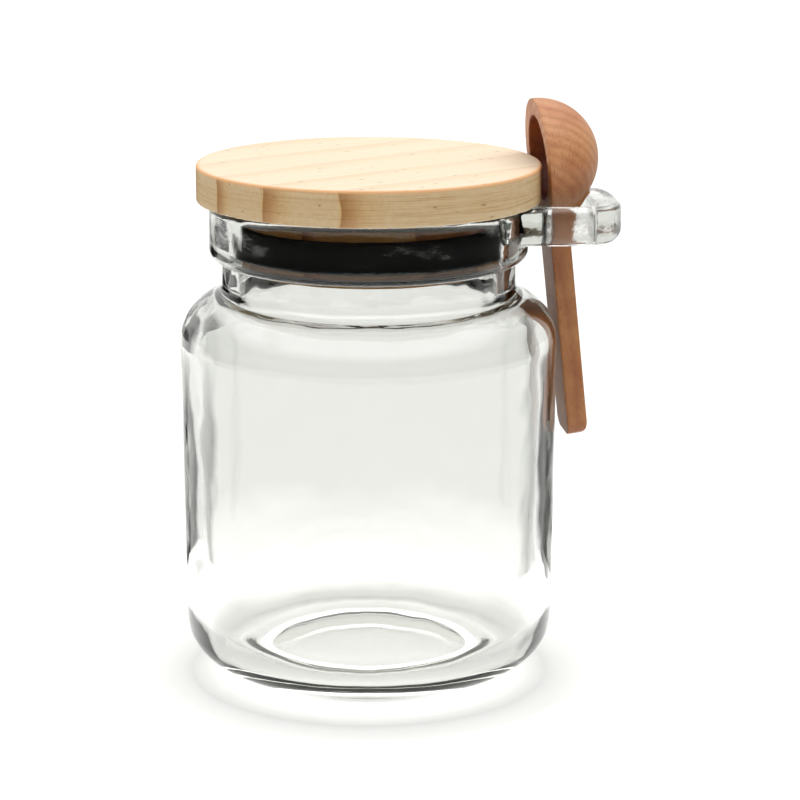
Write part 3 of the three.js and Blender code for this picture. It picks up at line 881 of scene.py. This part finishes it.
@dataclass
class Ear:
    """The glass ear at the collar, with the slot for the spoon. Millimetres."""

    centre: Vector
    turn: float = 4.42
    bottom: float = 92.7
    top: float = 100.8
    end: float = 51.6
    half_width: float = 13.6
    end_half_width: float = 13.2
    side_start: float = 38.0
    corner_start: float = 45.2
    corner_turn: float = 51.1
    flat_half_width: float = 4.0
    root_x: float = 24.0
    root_half_width: float = 17.0
    root_turn_x: float = 32.0
    root_radius: float = 30.2
    low_edge: float = 3.0
    high_edge: float = 1.3
    slot_start: float = 34.2
    slot_end: float = 45.9
    slot_half_width: float = 10.3
    slot_corner: float = 2.4
    steps: int = 160
    edge_steps: int = 6
    flat_steps: int = 6
    skin_wave: float = 0.12
    skin_wave_length: float = 6.5

    def plan(self) -> list[Point]:
        """Works out the ear's outline seen from above, its root on a circle in the collar's wall.

        Returns:
            The outline's points, counter-clockwise.
        """
        side = [
            (self.end, 0.0),
            *bend(
                (self.end, self.flat_half_width), (self.corner_turn, self.end_half_width),
                (self.corner_start, self.end_half_width), 16,
            ),
            *bend(
                (self.side_start, self.half_width), (self.root_turn_x, self.half_width),
                (self.root_x, self.root_half_width), 16,
            ),
        ]
        outside = [p for p in side if math.hypot(*p) >= self.root_radius]
        last = outside[-1]
        reach = math.degrees(math.atan2(last[1], last[0]))
        root = arc((0.0, 0.0), self.root_radius, reach, 0.0, 3.0)
        upper = [*outside, *root]
        return [*upper, *[(x, -y) for x, y in reversed(upper)]]

    def slot(self) -> list[Point]:
        """Works out the slot's outline, a rectangle with round corners.

        Returns:
            The outline's points.
        """
        x0, x1, y1, c = self.slot_start, self.slot_end, self.slot_half_width, self.slot_corner
        upper = [
            (x1, 0.0), *bend((x1, y1 - c), (x1, y1), (x1 - c, y1)),
            *bend((x0 + c, y1), (x0, y1), (x0, y1 - c)), (x0, 0.0),
        ]
        return [*upper, *[(x, -y) for x, y in reversed(upper)]]

    def seen_from(self, middle: Point, outline: list[Point], angle: float) -> Point:
        """Finds where a ray from the slot's middle crosses an outline.

        Args:
            middle: the slot's middle.
            outline: the outline's points.
            angle: the ray's direction, in radians.

        Returns:
            The crossing.
        """
        dx, dy = math.cos(angle), math.sin(angle)
        best = 0.0
        for (ax, ay), (bx, by) in zip(outline, [*outline[1:], outline[0]]):
            ex, ey = bx - ax, by - ay
            det = ex * dy - ey * dx
            if abs(det) < 1e-12:
                continue
            px, py = ax - middle[0], ay - middle[1]
            reach = (ex * py - ey * px) / det
            share = (dx * py - dy * px) / det
            if reach > 0 and -1e-9 <= share <= 1 + 1e-9:
                best = max(best, reach)
        return (middle[0] + dx * best, middle[1] + dy * best)

    def heights(self) -> list[float]:
        """Works out the heights of the ear's levels, close together where its edges are rounded.

        Returns:
            The heights, lowest first.
        """
        turns = [math.pi / 2 * i / self.edge_steps for i in range(self.edge_steps + 1)]
        low = [self.bottom + self.low_edge * (1 - math.cos(a)) for a in turns]
        high = [self.top - self.high_edge * (1 - math.cos(a)) for a in reversed(turns)]
        return [*low, (low[-1] * 2 + high[0]) / 3, (low[-1] + high[0] * 2) / 3, *high]

    def inset(self, height: float, low_edge: float, high_edge: float) -> float:
        """Works out how far an outline draws in at a height.

        Args:
            height: the height.
            low_edge: the radius of the edge below.
            high_edge: the radius of the edge above.

        Returns:
            The distance.
        """
        low = max(0.0, low_edge - (height - self.bottom))
        high = max(0.0, high_edge - (self.top - height))
        low_inset = low_edge - math.sqrt(low_edge ** 2 - low ** 2)
        return low_inset + high_edge - math.sqrt(high_edge ** 2 - high ** 2)

    def loops(self, outline: list[Point], low_edge: float, outward: float) -> list[list[Vector]]:
        """Stacks an outline from the ear's underside to its top, with rounded edges.

        Args:
            outline: the outline at its fullest.
            low_edge: the radius of the edge below.
            outward: 1 where the glass is inside it, -1 where it is outside.

        Returns:
            One loop of points for each height.
        """
        count = len(outline)
        normals = []
        for i in range(count):
            ahead, behind = outline[(i + 1) % count], outline[i - 1]
            along = Vector((ahead[0] - behind[0], ahead[1] - behind[1])).normalized()
            normals.append(Vector((along.y, -along.x)))
        made = []
        for height in self.heights():
            inset = outward * self.inset(height, low_edge, self.high_edge)
            made.append([
                Vector((p[0] - n.x * inset, p[1] - n.y * inset, height))
                for p, n in zip(outline, normals)
            ])
        return made

    def uneven(self, place: Vector) -> Vector:
        """Moves a point of the ear's skin as pressing leaves it, slightly out of true."""
        return place + noise.noise_vector(place / self.skin_wave_length) * self.skin_wave

    def solid(self) -> Piece:
        """Builds the ear as a solid ring of glass.

        Returns:
            The ear.
        """
        middle = ((self.slot_start + self.slot_end) / 2, 0.0)
        angles = [2 * math.pi * i / self.steps for i in range(self.steps)]
        plan = [self.seen_from(middle, self.plan(), a) for a in angles]
        slot = [self.seen_from(middle, self.slot(), a) for a in angles]
        outer = self.loops(plan, self.low_edge, 1.0)
        inner = self.loops(slot, self.high_edge, -1.0)
        top = [
            [a.lerp(b, t / self.flat_steps) for a, b in zip(outer[-1], inner[-1])]
            for t in range(1, self.flat_steps)
        ]
        under = [
            [a.lerp(b, t / self.flat_steps) for a, b in zip(inner[0], outer[0])]
            for t in range(1, self.flat_steps)
        ]
        rings = [*outer, *top, *reversed(inner), *under]
        built = bmesh.new()
        made = [[built.verts.new(self.uneven(p)) for p in ring] for ring in rings]
        for low, high in zip(made, [*made[1:], made[0]]):
            for i in range(self.steps):
                j = (i + 1) % self.steps
                built.faces.new([low[i], low[j], high[j], high[i]])
        built.transform(Matrix.Rotation(math.radians(self.turn), 4, "Z"))
        return mesh_object("glass_ear", built, self.centre)


@dataclass
class Lid:
    """The wooden lid, a disc with a grooved plug under it, one piece of wood. Millimetres."""

    centre: Vector
    finish: Pine = Pine()
    steps: int = 384
    radius: float = 35.4
    bottom: float = 101.1
    top: float = 108.5
    top_edge: float = 0.45
    bottom_edge: float = 0.35
    plug_radius: float = 25.5
    plug_bottom: float = 87.3
    plug_edge: float = 0.8
    groove_bottom: float = 90.3
    groove_top: float = 96.9
    groove_depth: float = 1.9
    crease: float = 28.0
    chip: float = 0.28
    chip_length: float = 1.3
    chip_reach: float = 0.6
    warp: float = 0.06
    warp_length: float = 22.0

    def profile(self) -> list[Point]:
        """Works out the lid's outline.

        Returns:
            Points (radius, height) from the middle of the plug's underside to the top's middle.
        """
        groove = self.plug_radius - self.groove_depth
        low = arc(
            (self.radius - self.bottom_edge, self.bottom + self.bottom_edge),
            self.bottom_edge, -90.0, 0.0, 30.0,
        )
        high = arc(
            (self.radius - self.top_edge, self.top - self.top_edge),
            self.top_edge, 0.0, 90.0, 22.5,
        )
        return [
            (0.0, self.plug_bottom),
            (self.plug_radius - self.plug_edge, self.plug_bottom),
            (self.plug_radius, self.plug_bottom + self.plug_edge),
            (self.plug_radius, self.groove_bottom),
            (groove, self.groove_bottom),
            (groove, self.groove_top),
            (self.plug_radius, self.groove_top),
            (self.plug_radius, self.bottom),
            *low, *high,
            (0.0, self.top),
        ]

    def worn(self, place: Vector, number: int) -> Vector:
        """Moves a point of the lid: the saw leaves its lower edge torn in small chips.

        Args:
            place: the point's first place.
            number: its number in the profile; not used.

        Returns:
            Its new place.
        """
        across = math.hypot(place.x, place.y)
        share = max(0.0, 1.0 - abs(place.z - self.bottom) / self.chip_reach)
        torn = max(0.0, noise.noise(place / self.chip_length) + 0.1) * self.chip
        torn *= share * (across > self.radius - 1.0)
        uneven = noise.noise(place / self.warp_length) * self.warp
        return place + Vector((0.0, 0.0, torn + uneven * (across > self.radius - 2.0)))

    def build(self) -> Piece:
        """Builds the lid.

        Returns:
            The dressed lid.
        """
        lid = mesh_object(
            "wooden_lid", turned(spaced(self.profile(), 2.4), self.steps, self.worn), self.centre,
        )
        smooth(lid, self.crease)
        made = self.finish.material(
            self.centre, self.top * MM, self.radius * MM, (self.top - self.bottom) * MM,
        )
        dress(lid, made, "lid")
        return lid


@dataclass
class SealRing:
    """The rubber ring in the plug's groove, its outer edges rounded. Millimetres."""

    centre: Vector
    finish: Rubber = Rubber()
    steps: int = 192
    inner_radius: float = 23.9
    outer_radius: float = 26.9
    bottom: float = 90.6
    top: float = 96.6
    edge: float = 0.9

    def build(self) -> Piece:
        """Builds the ring.

        Returns:
            The dressed ring.
        """
        reach = self.outer_radius - self.edge
        profile = [
            (self.inner_radius, self.bottom),
            *arc((reach, self.bottom + self.edge), self.edge, -90.0, 0.0, 15.0),
            *arc((reach, self.top - self.edge), self.edge, 0.0, 90.0, 15.0),
            (self.inner_radius, self.top),
        ]
        ring = mesh_object("rubber_ring", turned(spaced(profile, 1.0), self.steps), self.centre)
        smooth(ring)
        dress(ring, self.finish.material(), "ring")
        return ring


@dataclass
class Spoon:
    """The wooden spoon, half a ball hollowed from its flat side, on a flat handle. Millimetres.

    Its own X points away from the jar, and its handle lies along -Z.
    """

    centre: Vector
    finish: Beech = Beech()
    bowl_place: Place = (34.88, 3.5, 108.9)
    bowl_turn: float = 8.3
    bowl_lean: float = 6.6
    handle_swing: float = 2.6
    bowl_radius: float = 12.35
    hollow_radius: float = 8.7
    handle_width: float = 11.0
    handle_thickness: float = 4.2
    handle_length: float = 59.2
    tip_radius: float = 3.0
    tip_round: float = 2.6
    throat_top: float = -7.5
    throat_bottom: float = -17.5
    throat_depth: float = 9.4
    cell: float = 0.28
    sanding: float = 0.5
    sanding_rounds: int = 2
    steps: int = 96

    def half_ball(self) -> Piece:
        """Builds the bowl's half ball, its flat side at X 0.

        Returns:
            The half ball.
        """
        profile = [(0.0, 0.0), *arc((0.0, 0.0), self.bowl_radius, 0.0, 90.0, 4.0)[:-1]]
        built = turned([*spaced(profile, 1.5), (0.0, self.bowl_radius)], self.steps)
        built.transform(Matrix.Rotation(math.pi / 2, 4, "Y"))
        return mesh_object("bowl", built, Vector())

    def prism(self, name: str, outline: list[Point], low: float, high: float) -> Piece:
        """Builds a prism from an outline in the plane of X and Z.

        Args:
            name: the prism's name.
            outline: points (x, z).
            low: where it starts along Y.
            high: where it ends along Y.

        Returns:
            The prism.
        """
        built = bmesh.new()
        near = [built.verts.new((x, low, z)) for x, z in outline]
        far = [built.verts.new((x, high, z)) for x, z in outline]
        built.faces.new(near)
        built.faces.new(list(reversed(far)))
        for i in range(len(outline)):
            j = (i + 1) % len(outline)
            built.faces.new([near[i], far[i], far[j], near[j]])
        return mesh_object(name, built, Vector())

    def handle(self) -> Piece:
        """Builds the handle, its tip rounded off away from the jar.

        Returns:
            The handle.
        """
        half, thick, tip = self.handle_width / 2, self.handle_thickness, -self.handle_length
        side = [
            (0.0, 0.0), (0.0, tip),
            *bend((thick - self.tip_round, tip), (thick, tip), (thick, tip + self.tip_round)),
            (thick, 0.0),
        ]
        blank = self.prism("handle", side, -half, half)
        corner = self.tip_radius
        front = bend((-half, tip + corner), (-half, tip), (-half + corner, tip))
        outline = [*front, *[(-x, z) for x, z in reversed(front)], (half, 1.0), (-half, 1.0)]
        cutter = self.prism("tip", outline, -1.0, thick + 1.0)
        cutter.data.transform(Matrix(((0, 1, 0, 0), (1, 0, 0, 0), (0, 0, 1, 0), (0, 0, 0, 1))))
        cutter.data.flip_normals()
        combine(blank, cutter, "INTERSECT")
        return blank

    def throat(self) -> Piece:
        """Builds the thick throat between the bowl and the handle.

        Returns:
            The throat.
        """
        half = self.handle_width / 2 - 0.5
        middle = (self.throat_top + self.throat_bottom) / 2
        outline = [
            (0.3, self.throat_top),
            (0.3, self.throat_bottom),
            *reversed(bend(
                (self.throat_depth, self.throat_top), (self.handle_thickness + 0.4, middle),
                (self.handle_thickness - 0.3, self.throat_bottom),
            )),
        ]
        return self.prism("throat", outline, -half, half)

    def build(self) -> Piece:
        """Builds the spoon in one piece and hangs it in the ear.

        Returns:
            The dressed spoon.
        """
        spoon = self.half_ball()
        combine(spoon, self.handle(), "UNION")
        combine(spoon, self.throat(), "UNION")
        ball = bmesh.new()
        bmesh.ops.create_uvsphere(
            ball, u_segments=self.steps, v_segments=self.steps // 2, radius=self.hollow_radius,
        )
        combine(spoon, mesh_object("hollow", ball, Vector()), "DIFFERENCE")
        remesh = spoon.modifiers.new("one skin", "REMESH")
        remesh.mode = "VOXEL"
        remesh.voxel_size = self.cell * MM
        soften = spoon.modifiers.new("sanded", "SMOOTH")
        soften.factor = self.sanding
        soften.iterations = self.sanding_rounds
        apply_modifiers(spoon)
        spoon.name = "wooden_spoon"
        spoon.location = self.centre + Vector(self.bowl_place) * MM
        spoon.rotation_mode = "XYZ"
        spoon.rotation_euler = (
            math.radians(self.handle_swing), math.radians(-self.bowl_lean),
            math.radians(self.bowl_turn),
        )
        spoon.data.shade_smooth()
        made = self.finish.material(self.bowl_radius, self.hollow_radius)
        dress(spoon, made, "spoon")
        return spoon


@dataclass(frozen=True)
class Card:
    """A dark card behind the jar, square to the camera. Millimetres."""

    low_x: float
    high_x: float
    y: float
    bottom: float
    top: float


@dataclass
class Studio:
    """The pale floor, the dark cards, the soft light and the camera. Millimetres."""

    centre: Vector
    floor_reach: float = 6000.0
    floor_colour: str = "E8E8E6"
    # Painted light: the paper round the jar glows by these stops, brightest under the base, to fill
    # in the jar's shadow.
    glow_reach: float = 150.0
    glow_stops: tuple[tuple[float, str], ...] = (
        (0.0, "FFFFFF"), (0.19, "F8F8F6"), (0.25, "606060"), (0.3, "686866"), (0.37, "CCCCCA"),
        (0.53, "C2C2C0"), (0.73, "8E8E8E"), (1.0, "000000"),
    )
    glow_strength: float = 1.1
    horizon: str = "5C615D"
    low_sky: str = "3C403D"
    horizon_behind: str = "BCBCBA"
    sky_strength: float = 2.0
    camera_distance: float = 600.0
    camera_fall: float = 13.78
    target_height: float = 58.41
    lens: float = 129.24
    sensor: float = 36.0
    shift_x: float = 0.039
    # How far a direction points to the back where the lighter horizon sets in and is full.
    behind_from: float = 0.5
    behind_full: float = 0.8
    matt: float = 0.9
    # Real paper is finer; its grain is drawn as coarse as it needs to show.
    paper_grains_per_mm: float = 0.9
    paper_relief_mm: float = 0.02
    card_colour: str = "171A17"
    # How far from a card's middle, and how high up it, its soft edges begin.
    side_fade: float = 0.24
    top_fade: float = 0.65
    dark_cards: tuple[Card, ...] = (
        Card(-92.0, -56.0, 70.0, 0.0, 54.0),
        Card(50.0, 106.0, 62.0, 0.0, 68.0),
        Card(-160.0, -50.0, 120.0, 52.0, 76.0),
        Card(54.0, 126.0, 120.0, 52.0, 76.0),
    )
    screen_reach: float = 420.0
    screen_height: float = 110.0
    screen_turn: float = 115.0

    def floor(self) -> Piece:
        """Lays the floor of white paper, with painted light glowing from it round the jar: it
        stands in for the light that the glass gathers under its base, and fills in the jar's shadow
        round its foot.

        Returns:
            The floor.
        """
        built = bmesh.new()
        bmesh.ops.create_circle(built, cap_ends=True, segments=64, radius=self.floor_reach)
        floor = mesh_object("floor", built, self.centre)
        made, add = new_material("white paper")
        place = add("TexCoord").outputs["Object"]
        fibre = add(
            "TexNoise", {"Scale": self.paper_grains_per_mm / MM, "Detail": 3.0}, {"Vector": place},
        )
        bump = add(
            "Bump", {"Strength": 0.1, "Distance": self.paper_relief_mm * MM}, {"Height": fibre},
        )
        # Painted light: the floor glows about the jar's axis in place of gathered light and the
        # jar's shadow.
        from_axis = add("VectorMath DISTANCE", {1: tuple(self.centre)}, {0: place})
        share = add("MapRange", {"From Max": self.glow_reach * MM}, {"Value": from_axis})
        painted_glow = add("ValToRGB", {"stops": self.glow_stops}, {"Fac": share})
        paper = add(
            "BsdfPrincipled",
            {
                "Base Color": self.floor_colour, "Roughness": self.matt, "Specular IOR Level": 0.2,
                "Emission Strength": self.glow_strength,
            },
            {"Normal": bump, "Emission Color": painted_glow},
        )
        add("OutputMaterial", {}, {"Surface": paper})
        floor.data.materials.append(made)
        return floor

    def black_card(self, soft: bool) -> Finish:
        """Makes black card, which is matt and takes in nearly all light.

        Args:
            soft: whether its edges fade out, so that no hard line shows through the glass.

        Returns:
            The material.
        """
        made, add = new_material("black card with soft edges" if soft else "black card")
        skin = add("BsdfPrincipled", {"Base Color": self.card_colour, "Roughness": self.matt})
        if soft:
            place = add("TexCoord").outputs["Generated"]
            parts = add("SeparateXYZ", {}, {"Vector": place})
            across = add("Math SUBTRACT", {1: 0.5}, {0: parts.outputs["X"]})
            aside = add("Math ABSOLUTE", {}, {0: across})
            side = add("MapRange", {"From Min": 0.5, "From Max": self.side_fade}, {"Value": aside})
            top = add(
                "MapRange", {"From Min": 1.0, "From Max": self.top_fade},
                {"Value": parts.outputs["Z"]},
            )
            share = add("Math MULTIPLY", {}, {0: side, 1: top})
            skin = add("MixShader", {}, {0: share, 1: add("BsdfTransparent"), 2: skin})
        add("OutputMaterial", {}, {"Surface": skin})
        return made

    def stand(self, name: str, foot: list[Point], heights: Point, finish: Finish) -> Piece:
        """Stands a sheet on edge, for the glass alone to mirror and bend.

        Args:
            name: the sheet's name.
            foot: the line that it stands over.
            heights: how high its lower and upper edges are.
            finish: its material.

        Returns:
            The sheet.
        """
        built = bmesh.new()
        low, high = ([built.verts.new((*place, height)) for place in foot] for height in heights)
        for i in range(len(foot) - 1):
            built.faces.new([low[i], low[i + 1], high[i + 1], high[i]])
        sheet = mesh_object(name, built, self.centre)
        sheet.data.materials.append(finish)
        sheet.visible_camera = sheet.visible_diffuse = sheet.visible_shadow = False
        return sheet

    def cards(self) -> list[Piece]:
        """Stands dark cards behind the jar, and a low dark screen in an arc round its front.

        The cards draw the jar's walls in the glass, and the screen darkens the upright glass.

        Returns:
            The cards and the screen.
        """
        soft = self.black_card(True)
        sheets = [
            self.stand(f"card_{i}", [(c.low_x, c.y), (c.high_x, c.y)], (c.bottom, c.top), soft)
            for i, c in enumerate(self.dark_cards)
        ]
        reach, turn = self.screen_reach, self.screen_turn
        foot = arc((0.0, 0.0), reach, -90.0 - turn, -90.0 + turn)
        plain = self.black_card(False)
        sheets.append(self.stand("screen", foot, (0.0, self.screen_height), plain))
        return sheets

    def light(self) -> None:
        """Lights the scene from a soft white ceiling, darker towards the horizon."""
        world = bpy.data.worlds.new("studio")
        bpy.context.scene.world = world
        world.use_nodes = True
        world.node_tree.nodes.clear()
        add = partial(add_node, world.node_tree)
        place = add("TexCoord").outputs["Generated"]
        parts = add("SeparateXYZ", {}, {"Vector": place})
        ceiling = add(
            "ValToRGB",
            {"stops": [
                (0.0, self.horizon), (0.4, self.low_sky), (0.72, "FFFFFF"), (1.0, "FFFFFF"),
            ]},
            {"Fac": parts.outputs["Z"]},
        )
        behind = add(
            "MapRange", {"From Min": self.behind_from, "From Max": self.behind_full},
            {"Value": parts.outputs["Y"]},
        )
        around = add(
            "Mix", {**BLEND, "blend_type": "LIGHTEN", 7: self.horizon_behind},
            {0: behind, 6: ceiling},
        )
        sky = add("Background", {"Strength": self.sky_strength}, {"Color": around})
        add("OutputWorld", {}, {"Surface": sky})

    def camera(self) -> Piece:
        """Sets the camera at the photograph's viewing angle.

        Returns:
            The camera.
        """
        data = bpy.data.cameras.new("camera")
        data.sensor_width = self.sensor
        data.lens = self.lens
        data.shift_x = self.shift_x
        data.clip_start = 0.01
        data.clip_end = 20.0
        camera = bpy.data.objects.new("camera", data)
        bpy.context.scene.collection.objects.link(camera)
        fall = math.radians(self.camera_fall)
        target = self.centre + Vector((0.0, 0.0, self.target_height)) * MM
        back = Vector((0.0, -math.cos(fall), math.sin(fall)))
        camera.location = target + back * self.camera_distance * MM
        camera.rotation_euler = (-back).to_track_quat("-Z", "Y").to_euler()
        bpy.context.scene.camera = camera
        return camera

    def build(self) -> None:
        """Sets up floor, cards, light and camera."""
        self.floor()
        self.cards()
        self.light()
        self.camera()
        bpy.context.scene.view_settings.view_transform = "Standard"


def main() -> None:
    """Builds every piece in order; each piece's face count goes to the log."""
    logging.basicConfig(level=logging.INFO, format="%(name)s: %(message)s")
    noise.seed_set(NOISE_SEED)
    low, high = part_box("lid")
    centre = Vector(((low.x + high.x) / 2, (low.y + high.y) / 2, 0.0))
    Studio(centre).build()
    Jar(centre).build(Ear(centre))
    Lid(centre).build()
    SealRing(centre).build()
    Spoon(centre).build()


if __name__ == "__main__":
    main()
